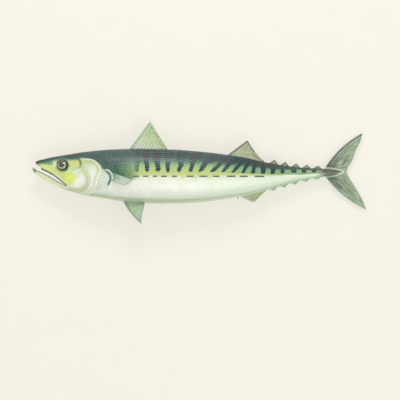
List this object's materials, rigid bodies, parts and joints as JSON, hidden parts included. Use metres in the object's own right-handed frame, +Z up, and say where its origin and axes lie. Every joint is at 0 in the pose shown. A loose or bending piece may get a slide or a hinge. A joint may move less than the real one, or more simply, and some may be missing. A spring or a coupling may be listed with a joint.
{
  "type": "whole raw fish",
  "caption": "Whole raw mackerel lying on its side: slim torpedo body, parted jaws, pointed back fins, rows of finlets and a deeply forked tail.",
  "frame": {"origin": "on the table, under the middle of the fish's bounding box", "axes": "+X from the jaws to the tail, +Y from the belly to the back, +Z up, out of the fish's left flank, away from the table"},
  "size_m": [0.35, 0.1086, 0.0426],
  "materials": {
    "skin": "wet, glossy skin with dark wavy bars on the back and a silvery belly",
    "eye": "wet, clear cornea over a yellow-green iris and a black pupil",
    "back_fins": "thin, slightly see-through olive membrane between darker rays",
    "belly_fins": "thin, slightly see-through pale green membrane between rays",
    "side_and_tail_fins": "thin slate-green membrane between close rays"
  },
  "bodies": {
    "root": {"body": "skin", "left_eye": "eye", "right_eye": "eye", "first_dorsal_fin": "back_fins", "second_dorsal_fin": "back_fins", "dorsal_finlet_1": "back_fins", "dorsal_finlet_2": "back_fins", "dorsal_finlet_3": "back_fins", "dorsal_finlet_4": "back_fins", "dorsal_finlet_5": "back_fins", "anal_spine": "belly_fins", "anal_fin": "belly_fins", "anal_finlet_1": "belly_fins", "anal_finlet_2": "belly_fins", "anal_finlet_3": "belly_fins", "anal_finlet_4": "belly_fins", "anal_finlet_5": "belly_fins", "left_pelvic_fin": "belly_fins", "right_pelvic_fin": "belly_fins", "left_pectoral_fin": "side_and_tail_fins", "right_pectoral_fin": "side_and_tail_fins", "tail_fin": "side_and_tail_fins"}
  },
  "joints": []
}
